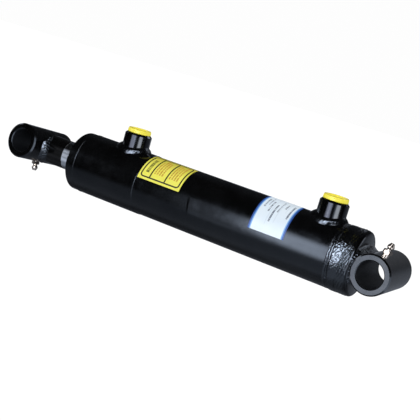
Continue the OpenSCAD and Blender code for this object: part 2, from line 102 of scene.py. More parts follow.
class Graph:
    """A material's node tree with one Principled shader, built with short calls."""

    def __init__(self, name):
        self.material = bpy.data.materials.new(name)
        self.material.use_nodes = True
        self.tree = self.material.node_tree
        self.tree.nodes.clear()
        out = self.tree.nodes.new("ShaderNodeOutputMaterial")
        self.shader = self.tree.nodes.new("ShaderNodeBsdfPrincipled")
        self.tree.links.new(self.shader.outputs[0], out.inputs["Surface"])
        place = self.tree.nodes.new("ShaderNodeTexCoord")
        self.mm = self.vector("MULTIPLY", place.outputs["Object"], (1 / MM, 1 / MM, 1 / MM))

    def add(self, kind, inputs=None, **settings):
        node = self.tree.nodes.new(kind)
        for key, value in settings.items():
            setattr(node, key, value)
        for key, value in (inputs or {}).items():
            self.feed(node.inputs[key], value)
        return node

    def feed(self, socket, value):
        if isinstance(value, bpy.types.NodeSocket):
            self.tree.links.new(value, socket)
        else:
            socket.default_value = value

    def set(self, **values):
        for key, value in values.items():
            self.feed(self.shader.inputs[key.replace("_", " ")], value)

    def math(self, operation, a, b=0.0, c=0.0):
        return self.add("ShaderNodeMath", {0: a, 1: b, 2: c}, operation=operation).outputs[0]

    def vector(self, operation, a, b):
        return self.add("ShaderNodeVectorMath", {0: a, 1: b}, operation=operation).outputs[0]

    def xyz(self):
        """Place in the CAD frame, in millimetres."""
        return self.add("ShaderNodeSeparateXYZ", {0: self.mm}).outputs

    def noise(self, scale, detail=2.0, roughness=0.5, stretch=(1, 1, 1), distortion=0.0):
        place = self.mm if stretch == (1, 1, 1) else self.vector("MULTIPLY", self.mm, stretch)
        inputs = {"Vector": place, "Scale": scale, "Detail": detail, "Roughness": roughness,
                  "Distortion": distortion}
        return self.add("ShaderNodeTexNoise", inputs).outputs[0]

    def remap(self, value, low, high, to_low, to_high):
        inputs = {"Value": value, "From Min": low, "From Max": high,
                  "To Min": to_low, "To Max": to_high}
        return self.add("ShaderNodeMapRange", inputs, clamp=True).outputs[0]

    def varied(self, scale, to_low, to_high, detail=4.0):
        """Noise of that scale, spread over a range."""
        return self.remap(self.noise(scale, detail, 0.6), 0.3, 0.7, to_low, to_high)

    def opposite(self, mask):
        return self.math("SUBTRACT", 1.0, mask)

    def distance(self, a, b):
        """Length of the long side over two sides at right angles."""
        squares = self.math("ADD", self.math("MULTIPLY", a, a), self.math("MULTIPLY", b, b))
        return self.math("SQRT", squares)

    def highest(self, masks):
        total = masks[0]
        for mask in masks[1:]:
            total = self.math("MAXIMUM", total, mask)
        return total

    def product(self, *masks):
        total = masks[0]
        for mask in masks[1:]:
            total = self.math("MULTIPLY", total, mask)
        return total

    def step(self, value, edge, soft):
        """0 below edge and 1 above it, with a soft change that wide."""
        return self.remap(value, edge - soft / 2, edge + soft / 2, 0.0, 1.0)

    def band(self, value, low, high, soft):
        """1 between low and high, 0 outside."""
        return self.product(self.step(value, low, soft), self.opposite(self.step(value, high, soft)))

    def line(self, value, middle, width):
        """1 on a printed line of that width, 0 beside it."""
        return self.band(value, middle - width / 2, middle + width / 2, 0.15)

    def number_mix(self, mask, a, b):
        """The number a where the mask is 0 and b where it is 1."""
        return self.math("MULTIPLY_ADD", mask, self.math("SUBTRACT", b, a), a)

    def mix(self, mask, a, b):
        """The colour a where the mask is 0 and b where it is 1."""
        node = self.add("ShaderNodeMix", data_type="RGBA")
        self.feed(node.inputs[0], mask)
        for socket, value in ((node.inputs[6], a), (node.inputs[7], b)):
            self.feed(socket, value if isinstance(value, bpy.types.NodeSocket) else (*value, 1.0))
        return node.outputs[2]

    def bump(self, height, depth, below=None):
        """Bump of that depth in millimetres where height goes from 0 to 1."""
        inputs = {"Height": height, "Distance": depth * MM, "Strength": 1.0}
        if below is not None:
            inputs["Normal"] = below
        return self.add("ShaderNodeBump", inputs).outputs[0]

    def round_barrel(self):
        """X, and the angle about the barrel's axis from +Y up towards +Z in degrees."""
        x, y, z = self.xyz()
        return x, self.math("MULTIPLY", self.math("ARCTAN2", z, y), 180 / math.pi)


# ---- Paint, metal, rubber and plastic ----

PAINT_DARK = (0.0010, 0.0010, 0.0011)
PAINT_PALE = (0.0026, 0.0027, 0.0030)
PAINT_TINT = (0.78, 0.88, 1.0, 1.0)
PAINT_GLOSS = 0.14


def paint_look(g, gloss=PAINT_GLOSS):
    """Colour, roughness and normal of sprayed black enamel over steel."""
    cloud = g.noise(0.035, 4.0, 0.6)
    colour = g.mix(g.remap(cloud, 0.35, 0.7, 0.0, 1.0), PAINT_DARK, PAINT_PALE)
    rough = g.remap(g.noise(0.12, 5.0, 0.62), 0.3, 0.75, gloss - 0.04, gloss + 0.07)
    sag = g.bump(g.noise(0.075, 2.0, 0.45), 0.09)
    peel = g.bump(g.noise(0.85, 2.0, 0.5), 0.006, sag)
    return colour, rough, peel


def cover(g, colour, rough, normal):
    """Put a black paint on the shader, with its bluish gloss."""
    g.set(Base_Color=colour, Roughness=rough, Normal=normal, Specular_Tint=PAINT_TINT)


def black_paint():
    g = Graph("black_paint")
    cover(g, *paint_look(g))
    return g.material


def barrel_paint():
    """The tube's paint, with a faint run line part of the way round."""
    g = Graph("barrel_paint")
    colour, rough, normal = paint_look(g)
    x, angle = g.round_barrel()
    lean_per_degree, depth = 0.06, 0.22
    line = g.math("ADD", RUN_LINE_X, g.math("MULTIPLY", angle, lean_per_degree))
    past = g.math("SUBTRACT", x, line)
    rise = g.remap(past, -14.0, -1.0, 0.0, 1.0)
    drop = g.opposite(g.step(past, 0.0, 2.0))
    seen = g.band(angle, -17.0, 21.0, 9.0)
    cover(g, colour, rough, g.bump(g.product(rise, drop, seen), depth, normal))
    return g.material


def cap_paint():
    """Paint on the end cap, whose face falls away softly towards its rim."""
    g = Graph("cap_paint")
    colour, rough, normal = paint_look(g)
    _, y, z = g.xyz()
    fall_from, fall_to, depth = 18.0, 30.0, 1.6
    fall = g.remap(g.distance(y, z), fall_from, fall_to, 0.0, 1.0)
    cover(g, colour, rough, g.bump(g.opposite(g.math("MULTIPLY", fall, fall)), depth, normal))
    return g.material


def weld_paint():
    """Paint lying over a weld bead, with fine wrinkles and spatter under it."""
    g = Graph("weld_paint")
    colour, rough, normal = paint_look(g, 0.16)
    wrinkle = g.bump(g.noise(0.7, 4.0, 0.65, distortion=0.5), 0.07, normal)
    cover(g, colour, rough, wrinkle)
    g.set(Specular_IOR_Level=1.0)
    return g.material


def tube_paint(name, pin_x, pin_turn, bore_dark, bore_pale):
    """Black paint on a cross tube, dull and thin inside the pin bore, where the given bore colours can
    also carry painted shade.
    """
    g = Graph(name)
    colour, rough, normal = paint_look(g)
    x, y, z = g.xyz()
    away_x = g.math("SUBTRACT", x, pin_x)
    level_z = g.math("MULTIPLY", z, math.cos(pin_turn))
    away_z = g.math("SUBTRACT", level_z, g.math("MULTIPLY", y, math.sin(pin_turn)))
    just_outside = PIN_BORE_R + 0.15
    bore = g.opposite(g.step(g.distance(away_x, away_z), just_outside, 0.2))
    # Thin coat in the bore; on the rod eye its darker colours are painted shade deep in the bore.
    thin = g.mix(g.noise(0.4, 4.0, 0.7), bore_dark, bore_pale)
    dull = g.varied(0.7, 0.42, 0.6)
    cover(g, g.mix(bore, colour, thin), g.number_mix(bore, rough, dull), normal)
    return g.material


def rod_finish():
    """Hard chrome, with black paint on the end next to the eye."""
    g = Graph("rod_chrome")
    edge = g.math("ADD", g.xyz()[0], g.varied(0.35, -0.35, 0.35, 3.0))
    painted = g.step(edge, PAINTED_FROM, 0.25)
    colour, rough, peel = paint_look(g)
    chrome = g.mix(g.noise(0.05, 3.0, 0.6), (0.74, 0.79, 0.86), (0.82, 0.86, 0.92))
    lines = g.noise(0.6, 3.0, 0.6, stretch=(6.0, 0.12, 0.12))
    chrome_rough = g.remap(lines, 0.3, 0.75, 0.07, 0.16)
    polish = g.bump(lines, 0.0015)
    g.set(Base_Color=g.mix(painted, chrome, colour), Metallic=g.opposite(painted))
    g.set(Roughness=g.number_mix(painted, chrome_rough, rough))
    normal = g.add("ShaderNodeMix", data_type="VECTOR")
    for socket, value in ((0, painted), (4, polish), (5, peel)):
        g.feed(normal.inputs[socket], value)
    g.set(Normal=normal.outputs[1], Specular_IOR_Level=0.2)
    return g.material


def turned_steel():
    """Machined steel with fine turning marks."""
    g = Graph("bare_steel")
    lines = g.noise(0.9, 3.0, 0.65, stretch=(5.0, 0.4, 0.4))
    shade = g.mix(g.noise(0.15, 3.0, 0.6), (0.41, 0.41, 0.4264), (0.5, 0.5, 0.52))
    g.set(Base_Color=shade, Metallic=1.0, Roughness=g.remap(lines, 0.3, 0.7, 0.24, 0.42))
    g.set(Normal=g.bump(lines, 0.006))
    return g.material


def zinc_plate():
    """Yellow-passivated zinc with a faint rainbow and dull patches."""
    g = Graph("fitting_zinc")
    hue = g.noise(0.3, 3.0, 0.6, distortion=0.6)
    warm = g.mix(g.remap(hue, 0.35, 0.6, 0.0, 1.0), (0.48, 0.4, 0.32), (0.66, 0.6, 0.54))
    shade = g.mix(g.remap(hue, 0.58, 0.75, 0.0, 0.6), warm, (0.5, 0.37, 0.33))
    g.set(Base_Color=shade, Metallic=1.0, Roughness=g.varied(0.8, 0.1, 0.24))
    g.set(Normal=g.bump(g.noise(1.6, 3.0, 0.6), 0.012))
    return g.material


def moulded(name, colour, dark, rough):
    """Moulded plastic or rubber with a fine surface and slight colour changes."""
    g = Graph(name)
    g.set(Base_Color=g.mix(g.varied(0.16, 0.0, 1.0), dark, colour))
    g.set(Roughness=g.varied(0.6, rough - 0.06, rough + 0.08))
    g.set(Normal=g.bump(g.noise(1.8, 3.0, 0.55), 0.01))
    return g.material


def plug_plastic():
    """Yellow plug plastic with painted shade in the moulded groove round its top face."""
    g = Graph("plug_yellow")
    x, y, z = g.xyz()
    groove_shades = []
    for name in ("base_port_plug", "rod_port_plug"):
        middle, radius = boss_place(name)
        away = g.distance(g.math("SUBTRACT", x, middle), y)
        groove_shades.append(g.band(away, radius - 1.7, radius - 0.7, 0.4))
    rim = g.product(g.highest(groove_shades), g.step(z, PLUG_TOP - 0.8, 0.3))
    shade = g.mix(g.varied(0.16, 0.0, 1.0), (0.9, 0.79, 0.045), (0.93, 0.83, 0.06))
    # The groove round the top face is darkened in colour here: painted shade in the crease.
    g.set(Base_Color=g.mix(g.math("MULTIPLY", rim, 0.8), shade, (0.3, 0.2, 0.02)))
    g.set(Roughness=g.varied(0.6, 0.3, 0.44))
    g.set(Normal=g.bump(g.opposite(rim), 0.2, g.bump(g.noise(1.8, 3.0, 0.55), 0.008)))
    return g.material


# ---- Labels ----


def dashes(g, along, lane, lanes, first, last, pitch, seed, duty, thick):
    """Rows of short dashes of uneven length, as plain stand-ins for small print.

    along runs along the rows and lane across them. There is a row of that thickness at each entry
    of lanes, from first to about last, and duty is the filled share of its pitch.
    """
    marks = []
    for i, centre in enumerate(lanes):
        shift = seed * 7.3 + i * 3.7
        cell = g.math("DIVIDE", g.math("ADD", along, shift), pitch)
        whole = g.math("FLOOR", cell)
        chance = g.add("ShaderNodeTexWhiteNoise", {"W": whole}, noise_dimensions="1D")
        share = g.remap(chance.outputs[0], 0, 1, duty - 0.2, duty + 0.3)
        filled = g.math("LESS_THAN", g.math("FRACT", cell), share)
        shorter = 0.3 * ((i * 37 + seed * 11) % 7) / 7
        end = last - (last - first) * shorter
        marks.append(g.product(filled, g.line(lane, centre, thick), g.band(along, first, end, 0.3)))
    return g.highest(marks)


def label_graph(name):
    """Graph of a printed label, with its x and its height round the tube."""
    g = Graph(name)
    x, angle = g.round_barrel()
    arc = g.math("MULTIPLY", angle, math.pi / 180 * TUBE_R)
    return g, x, arc


def yellow_label():
    """Yellow label with a black frame, two dividing lines and rows of plain dashes."""
    g, x, arc = label_graph("label_yellow")
    low, high = box_mm("yellow_label")
    foot, head = math.radians(17.3) * TUBE_R, math.radians(86) * TUBE_R
    side_in, foot_in, line, corner = 2.7, 3.1, 1.5, 2.8
    middle_x, middle_arc = (low.x + high.x) / 2, (foot + head) / 2
    half_x = (high.x - low.x) / 2 - side_in
    half_arc = (head - foot) / 2 - foot_in
    # Distance to a rounded rectangle, below 0 inside it
    off_x = g.math("ABSOLUTE", g.math("SUBTRACT", x, middle_x))
    off_arc = g.math("ABSOLUTE", g.math("SUBTRACT", arc, middle_arc))
    past_x = g.math("MAXIMUM", g.math("SUBTRACT", off_x, half_x - corner), 0.0)
    past_arc = g.math("MAXIMUM", g.math("SUBTRACT", off_arc, half_arc - corner), 0.0)
    away = g.math("SUBTRACT", g.distance(past_x, past_arc), corner)
    border = g.line(away, 0.0, line)
    inside = g.math("LESS_THAN", away, 0.0)
    rod_side, width = middle_x + half_x, 2 * half_x
    title_x, first_line, second_line = (rod_side - share * width for share in (0.12, 0.24, 0.63))
    rules = g.product(g.highest([g.line(x, v, line) for v in (first_line, second_line)]), inside)
    title = dashes(g, arc, x, [title_x], foot + 8, head - 5, pitch=1.6, seed=3, duty=0.56, thick=3.6)
    small = []
    for start_x, seed in ((first_line, 5), (second_line, 9)):
        lanes = [start_x - 3.2 - 2.9 * i for i in range(4)]
        rows = dashes(g, arc, x, lanes, foot + 9, head - 3, pitch=2.6, seed=seed, duty=0.84, thick=1.6)
        small.append(rows)
    sheet = g.mix(g.varied(0.06, 0.0, 1.0, 3.0), (0.76, 0.73, 0.06), (0.82, 0.79, 0.1))
    # Darker towards the top of the tube: painted shade where the light falls off over the curve.
    sheet = g.mix(g.remap(arc, foot + 14, head - 2, 0.0, 1.0), sheet, (0.5, 0.45, 0.03))
    printed = g.mix(g.math("MULTIPLY", g.highest(small), 0.85), sheet, (0.50, 0.22, 0.012))
    colour = g.mix(g.highest([border, rules, title]), printed, (0.012, 0.012, 0.006))
    g.set(Base_Color=colour, Roughness=g.varied(0.3, 0.34, 0.46))
    g.set(Normal=g.bump(g.noise(0.5, 3.0, 0.5), 0.01))
    return g.material


# Rows on the white label: way in from its rod-side end, first and last height above its foot,
# filled share and thickness
WHITE_MARKS = (
    (6.0, 26, 42, 0.6, 1.7),
    (9.0, 30, 44, 0.5, 1.3),
    (12.2, 22, 44, 0.6, 1.6),
    (17.5, 12, 40, 0.65, 1.8),
    (21.0, 24, 42, 0.5, 1.4),
    (26.0, 31, 44, 0.6, 1.6),
    (32.5, 20, 42, 0.7, 1.8),
)
# Rules on it: way in from the same end and height above its foot
WHITE_RULES = ((14.6, 8), (22.4, 12), (28.4, 26))


def white_label():
    """White label with a two-tone blue band at each end, thin rules and sparse grey dashes."""
    g, x, arc = label_graph("label_white")
    low, high = box_mm("white_label")
    foot, head = math.radians(2.2) * TUBE_R, math.radians(90) * TUBE_R
    edge = g.math("MINIMUM", g.math("SUBTRACT", x, low.x), g.math("SUBTRACT", high.x, x))
    deep = g.opposite(g.step(edge, 1.5, 0.3))
    pale = g.opposite(g.step(edge, 2.7, 0.5))
    marks = []
    for offset, first, last, duty, thick in WHITE_MARKS:
        lanes = [high.x - offset]
        marks.append(dashes(g, arc, x, lanes, foot + first, foot + last, 1.9, int(offset), duty, thick))
    rules = []
    for offset, first in WHITE_RULES:
        lane = g.line(x, high.x - offset, 0.24)
        rules.append(g.product(lane, g.band(arc, foot + first, head - 1, 0.5)))
    colour = g.mix(g.varied(0.05, 0.0, 1.0, 3.0), (0.67, 0.77, 0.87), (0.72, 0.81, 0.89))
    colour = g.mix(pale, colour, (0.15, 0.36, 0.72))
    colour = g.mix(deep, colour, (0.012, 0.07, 0.33))
    colour = g.mix(g.math("MULTIPLY", g.highest(rules), 0.55), colour, (0.25, 0.3, 0.42))
    colour = g.mix(g.math("MULTIPLY", g.highest(marks), 0.9), colour, (0.05, 0.065, 0.11))
    g.set(Base_Color=colour, Roughness=g.varied(0.3, 0.28, 0.4))
    g.set(Normal=g.bump(g.noise(0.5, 3.0, 0.5), 0.01))
    return g.material


# ---- Materials on the CAD nodes ----

looks = {
    "black_paint": black_paint(),
    "rod_chrome": rod_finish(),
    "bare_steel": turned_steel(),
    "fitting_zinc": zinc_plate(),
    "seal_polyurethane": moulded("seal_polyurethane", (0.03, 0.16, 0.1), (0.02, 0.11, 0.07), 0.35),
    "nitrile": moulded("nitrile", (0.012, 0.012, 0.012), (0.006, 0.006, 0.006), 0.6),
    "guide_ring": moulded("guide_ring", (0.3, 0.15, 0.06), (0.2, 0.1, 0.04), 0.55),
    "backup_ring": moulded("backup_ring", (0.8, 0.8, 0.77), (0.68, 0.68, 0.64), 0.5),
    "plug_yellow": plug_plastic(),
    "label_yellow": yellow_label(),
    "label_white": white_label(),
}
for part in frame["record"]["subparts"]:
    nodes[part["node"]].material_slots[0].material = looks[part["material_slot"]]
base_eye_paint = tube_paint(
    "base_cross_tube_paint", 0.0, 0.0, (0.002, 0.002, 0.002), (0.007, 0.0065, 0.006)
)
nodes["base_cross_tube"].material_slots[0].material = base_eye_paint
# The rod eye's bore gets darker colours than the base eye's: painted shade inside that bore.
rod_eye_paint = tube_paint(
    "rod_cross_tube_paint", ROD_EYE_X, ROD_EYE_TURN, (0.0003, 0.0003, 0.0003), (0.0012, 0.0011, 0.001)
)
nodes["rod_cross_tube"].material_slots[0].material = rod_eye_paint
nodes["barrel_tube"].material_slots[0].material = barrel_paint()
nodes["base_cap"].material_slots[0].material = cap_paint()
bead_paint = weld_paint()


# ---- Weld beads and paint seams ----


def add_piece(name, rows, material, body, replaced):
    """A closed skin through rows of points: both the rows and the points in a row close."""
    count, across = len(rows), len(rows[0])
    points = [tuple(c * MM for c in p) for row in rows for p in row]
    faces = []
    for i in range(count):
        here, there = i * across, (i + 1) % count * across
        for j in range(across):
            beside = (j + 1) % across
            faces.append((here + j, here + beside, there + beside, there + j))
    mesh = bpy.data.meshes.new(name)
    mesh.from_pydata(points, [], faces)
    skin = bmesh.new()
    skin.from_mesh(mesh)
    bmesh.ops.recalc_face_normals(skin, faces=skin.faces)
    skin.to_mesh(mesh)
    skin.free()
    mesh.polygons.foreach_set("use_smooth", [True] * len(faces))
    mesh.materials.append(material)
    mesh.validate()
    obj = bpy.data.objects.new(name, mesh)
    bpy.context.scene.collection.objects.link(obj)
    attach(obj, body)
    if replaced:
        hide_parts(*replaced)
    return obj


def lump(point, size, seed, octaves=3):
    """Smooth noise about 0, with features of that size."""
    return noise.fractal(Vector(point) / size + Vector((seed, 0.7 * seed, -seed)), 0.9, 2.1, octaves)


def ripple(share, side, number, bow, seed):
    """Overlapping crescents round a closed bead, from 0 to about 1, with that number of them.

    share runs from 0 to 1 round the bead and side from -1 to 1 over it. A crescent's ends trail its
    middle by bow.
    """
    turn = 2 * math.pi * share
    unrest = Vector((math.cos(turn), math.sin(turn), 0.0)) * (number / 8.0)
    phase = share * number + bow * side * side
    phase += 0.22 * noise.noise(unrest + Vector((seed, 0.0, 0.3)))
    whole = math.floor(phase)
    part = phase - whole
    size = 0.75 + 0.5 * noise.noise(Vector((whole % number * 1.73, seed + 4.1, 0.0)))
    return size * (math.sin(math.pi * part ** 0.7) ** 0.8)


def bead_rows(ends, count, across, bulge, pitch, wave, lumps, seed, slant):
    """Rows of a bead along a closed path.

    ends(turn) gives, for a turn from 0 to 1, the two edge points and the outward direction at each.
    Past both edges the skin dips under the surfaces that the bead joins. bulge is a height, or gives
    one for a turn. wave is the height of the ripples, pitch their spacing and slant their lean, and
    lumps is the height of the uneven parts.
    """
    middles = [sum(ends(i / count)[:2], Vector()) / 2 for i in range(count + 1)]
    walked = [0.0]
    for last, middle in zip(middles, middles[1:]):
        walked.append(walked[-1] + (middle - last).length)
    number = round(walked[-1] / pitch)
    bow, sink = 0.45, 0.7
    rows = []
    for i in range(count):
        a, b, out_a, out_b = ends(i / count)
        swell = bulge(i / count) if callable(bulge) else bulge
        row = []
        for j in range(across):
            t = j / (across - 1)
            out = (out_a * (1 - t) + out_b * t).normalized()
            side = 2 * t - 1
            fade = max(0.0, 1 - side ** 4)
            place = a.lerp(b, t)
            height = swell * (1 - side * side)
            share = walked[i] / walked[-1] + slant * side / number
            height += fade * wave * (ripple(share, side, number, bow, seed) - 0.45)
            height += fade * lumps * lump(place, 5.0, seed)
            height += 0.35 * lumps * lump(place, 1.4, seed + 3.0, 2) * fade
            row.append(place + out * height)
        along = (b - a).normalized()
        tucked = []
        for point, way, out in ((b, along, out_b), (a, -along, out_a)):
            shallow = point + way * 0.25 * sink - out * 0.35 * sink
            deep = point + way * 0.2 * sink - out * 2.0 * sink
            tucked.append((shallow, deep))
        (b_shallow, b_deep), (a_shallow, a_deep) = tucked
        rows.append(row + [b_shallow, b_deep, a_deep, a_shallow])
    return rows


def hump(x, middle, reach, flat):
    """1 at the middle, falling to 0 around reach away. A higher flat makes a wider top."""
    return math.exp(-abs((x - middle) / reach) ** flat)


def wander(circle, slow, size, seed):
    """Sideways drift of a hand-laid edge, which joins up with itself round the tube."""
    return size * noise.fractal(circle.yzx * (TUBE_R / slow) + Vector((0, 0, seed)), 0.9, 2.1, 3)


def barrel_bead():
    """Weld round the barrel: a broad cap pass, a dark groove and thin toe pass, then slanted passes.

    near is the way round from the side at +Y, positive upwards. The weld is roughest where busy is 1
    and smoothest where calm is 1. The cap pass lies between shelf and groove, and the slanted passes
    lie between start_x and shelf.
    """
    first_x, last_x, spacing, count = 22.2, 45.4, 0.3, 900
    start_x, crown_middle, groove_deep, sunk = 23.2, 36.0, 0.55, 2.0
    crown_ripples, crown_wave, crown_lumps, crown_grain = 46, 0.22, 0.3, 0.17
    toe_ripples, toe_high, toe_wave = 59, 0.5, 0.2
    pass_pitch, pass_lean, pass_high, pass_lumps = 2.7, 0.115, 1.45, 0.14
    across = int((last_x - first_x) / spacing) + 1
    girth = 2 * math.pi * TUBE_R
    rows = []
    for i in range(count):
        share = i / count
        turn = 2 * math.pi * share
        circle = Vector((0, math.cos(turn), math.sin(turn)))
        up = TUBE_R * math.sin(turn)
        near = TUBE_R * ((turn + math.pi) % (2 * math.pi) - math.pi)
        groove = 41.7 + wander(circle, 7.0, 0.8, 1.0) + wander(circle, 1.6, 0.5, 2.0)
        shelf = 30.6 - 0.05 * up + wander(circle, 6.0, 0.8, 3.0)
        busy = hump(near, 6.5, 15.5, 6.0)
        calm = hump(near, -26.0, 20.0, 6.0)
        rugged = (0.45 + 0.55 * busy) * (1 - 0.8 * calm)
        proud = 0.45 + 0.6 * busy
        toe_width = 0.95 + 0.3 * wander(circle, 3.0, 1.0, 4.0)
        crown_end = groove - 1.3
        toe_x = groove + 1.5
        row = []
        for j in range(across):
            x = first_x + (last_x - first_x) * j / (across - 1)
            place = circle * TUBE_R + Vector((x, 0, 0))
            side = (x - crown_middle) / 5.5
            crown = hump(x, (crown_end + shelf) / 2, (crown_end - shelf) / 2 - 0.2, 14.0)
            h = crown * proud * (1.0 - 0.2 * side * side)
            crescent = ripple(share + 1.2 * x / girth, side, crown_ripples, 0.9, 1.0)
            h += crown * rugged * crown_wave * (crescent - 0.5)
            uneven = crown_lumps * lump(place, 3.0, 11.0) + crown_grain * lump(place, 1.3, 12.0, 2)
            h += crown * rugged * uneven
            toe = hump(x, toe_x, toe_width, 4.0)
            crescent = ripple(share, x - toe_x, toe_ripples, 0.4, 2.0)
            h += toe * rugged * (toe_high + toe_wave * (crescent - 0.4))
            h -= groove_deep * hump(x, groove - 0.7, 1.2, 3.0)
            # Narrow passes that drift towards the cap's face
            drift = (x - shelf) / pass_pitch + pass_lean * up
            drift += 0.22 * noise.noise(circle * (TUBE_R / 9.0) + Vector((x / 6.0, 0.0, 7.0)))
            ridge = abs(math.sin(math.pi * drift)) ** 0.6
            spot = circle * (TUBE_R / 7.0) + Vector((math.floor(drift) * 3.1, 2.0, 0.0))
            broken = 0.55 + 0.6 * abs(noise.noise(spot)) ** 0.5
            apron = hump(x, (shelf + start_x) / 2, (shelf - start_x) / 2 + 0.4, 8.0)
            passes = pass_high * ridge * broken + pass_lumps * lump(place, 2.2, 14.0)
            h += apron * (0.12 + rugged * passes)
            edge = min(1.0, max(0.0, x - first_x) / 1.2, max(0.0, last_x - x) / 0.8)
            radius = TUBE_R + h * edge - 0.25 * (1 - edge)
            row.append(circle * radius + Vector((x, 0, 0)))
        row.append(circle * (TUBE_R - sunk) + Vector((last_x, 0, 0)))
        row.append(circle * (TUBE_R - sunk) + Vector((first_x + 0.8, 0, 0)))
        rows.append(row)
    return rows


def seam_rows(x, radius, half, high):
    """Thin raised line of paint over the joint between two round parts."""
    count, across, under, sunk = 360, 9, 0.15, 0.8
    rows = []
    for i in range(count):
        turn = 2 * math.pi * i / count
        circle = Vector((0, math.cos(turn), math.sin(turn)))
        middle = x + wander(circle, 9.0, 0.12, 6.0)
        row = []
        for j in range(across):
            side = 2 * j / (across - 1) - 1
            proud = high * (1 - side * side) - under
            row.append(circle * (radius + proud) + Vector((middle + half * side, 0, 0)))
        row.append(circle * (radius - sunk) + Vector((middle + 0.3 * half, 0, 0)))
        row.append(circle * (radius - sunk) + Vector((middle - 0.3 * half, 0, 0)))
        rows.append(row)
    return rows


def eye_bead_ends(turn):
    """Edges of the weld between the base cross tube and the cap, round the cap's face.

    The near edge is a rounded rectangle on the cross tube. The far edge leaves the cap's face over
    its rounded rim, and then runs a little way along the cap's side.
    """
    w = 2 * math.pi * turn
    c, s = math.cos(w), math.sin(w)
    half_high, half_wide, squareness = 14.6, 32.4, 4.0
    high_share = (abs(s) / half_high) ** squareness
    wide_share = (abs(c) / half_wide) ** squareness
    near = (high_share + wide_share) ** (-1 / squareness)
    a_y, a_z = near * c, near * s
    a = Vector((math.sqrt(EYE_R ** 2 - a_z ** 2) - 0.1, a_y, a_z))
    top, droop = 19.8, 0.0045
    curve = droop * c * c + 1e-4
    reach = (math.sqrt(s * s + 4 * curve * top) - abs(s)) / (2 * curve)
    rim = 2.5
    flat = TUBE_R - rim
    furthest, soft = 5.2, 5.0
    beyond = furthest * (1 - math.exp(-max(0.0, reach - flat) / soft))
    rim_length = rim * math.pi / 2
    if reach < flat:
        b_x, b_r = CAP_X, reach
    elif beyond < rim_length:
        bend = beyond / rim
        b_x, b_r = CAP_X + rim * (1 - math.cos(bend)), flat + rim * math.sin(bend)
    else:
        b_x, b_r = CAP_X + rim + beyond - rim_length, TUBE_R
    b = Vector((b_x, b_r * c, b_r * s))
    out = Vector((-(b_r - near), 0, 0)) + Vector((0, c, s)) * (b_x - a.x)
    out.normalize()
    return a, b, out, out


def rod_bead_ends(turn):
    """Edges of the weld between the rod and its cross tube."""
    leg = 5.6
    w = 2 * math.pi * turn
    c, s = math.cos(w), math.sin(w)
    y, z = ROD_R * c, ROD_R * s
    x = ROD_EYE_X - math.sqrt(EYE_R ** 2 - z ** 2)
    corner = Vector((x, y, z))
    out_rod = Vector((0, c, s))
    out_eye = Vector((-(ROD_EYE_X - x), 0, z)).normalized()
    away = (out_rod - out_eye * out_rod.dot(out_eye)).normalized()
    a = corner - Vector((leg, 0, 0))
    b = corner + away * leg
    across = Vector((b.x - ROD_EYE_X, 0, b.z)).normalized() * EYE_R
    b = Vector((ROD_EYE_X + across.x, b.y, across.z))
    out_b = Vector((across.x, 0, across.z)).normalized()
    turned = Matrix.Rotation(ROD_EYE_TURN, 3, "X")
    return turned @ a, turned @ b, turned @ out_rod, turned @ out_b


def port_bulge(turn):
    """Rounded in front and behind, nearly flat where the bead runs out along the barrel."""
    return 0.1 + 1.3 * math.sin(2 * math.pi * turn) ** 2


def port_bead_ends(x, seat_r):
    """Edges of the fillet round a port boss on a round seat, a little longer towards the rod end."""
    leg_up, leg_out = 4.2, 4.1

    def ends(turn):
        w = 2 * math.pi * turn
        c, s = math.cos(w), math.sin(w)
        far = BOSS_R + leg_out + 0.6 * c * c + 0.8 * c
        a_z = math.sqrt(seat_r ** 2 - (BOSS_R * s) ** 2) + leg_up
        a = Vector((x + BOSS_R * c, BOSS_R * s, a_z))
        b = Vector((x + far * c, far * s, math.sqrt(seat_r ** 2 - (far * s) ** 2)))
        return a, b, Vector((c, s, 0)), Vector((0, b.y, b.z)).normalized()

    return ends


base_bead = add_piece("barrel_base_bead", barrel_bead(), bead_paint, "barrel", ["barrel_base_weld"])
eye_rows = bead_rows(
    eye_bead_ends, count=700, across=22, bulge=-1.0, pitch=3.2, wave=0.8, lumps=0.25, seed=21.0, slant=0.1
)
eye_bead = add_piece("base_eye_bead", eye_rows, bead_paint, "barrel", ["base_eye_weld"])
rod_rows = bead_rows(
    rod_bead_ends, count=560, across=22, bulge=0.7, pitch=3.4, wave=0.6, lumps=0.5, seed=31.0, slant=0.3
)
rod_bead = add_piece("rod_eye_bead", rod_rows, bead_paint, "rod_assembly", ["rod_eye_weld"])
port_beads = []
for name, node, x, seat_r, seed in (
    ("base_port_bead", "base_port_weld", BASE_PORT_X, TUBE_R, 41.0),
    ("rod_port_bead", "rod_port_weld", ROD_PORT_X, COLLAR_R, 51.0),
):
    rows = bead_rows(
        port_bead_ends(x, seat_r), count=520, across=18, bulge=port_bulge, pitch=3.4, wave=0.14,
        lumps=0.09, seed=seed, slant=0.2
    )
    port_beads.append(add_piece(name, rows, bead_paint, "barrel", [node]))
gland_rows = seam_rows(COLLAR_END, COLLAR_R - 0.1, half=0.75, high=0.42)
add_piece("gland_seam", gland_rows, looks["black_paint"], "barrel", [])
collar_rows = seam_rows(COLLAR_START, TUBE_R + 0.1, half=0.6, high=0.34)
add_piece("collar_seam", collar_rows, looks["black_paint"], "barrel", [])


# ---- Floor, light and camera, with lengths in metres from here on ----

FLOOR_Z = -0.36
DAYLIGHT = (0.86, 0.90, 1.0)
BARREL_MIDDLE = (0.1, 0.0, 0.0)


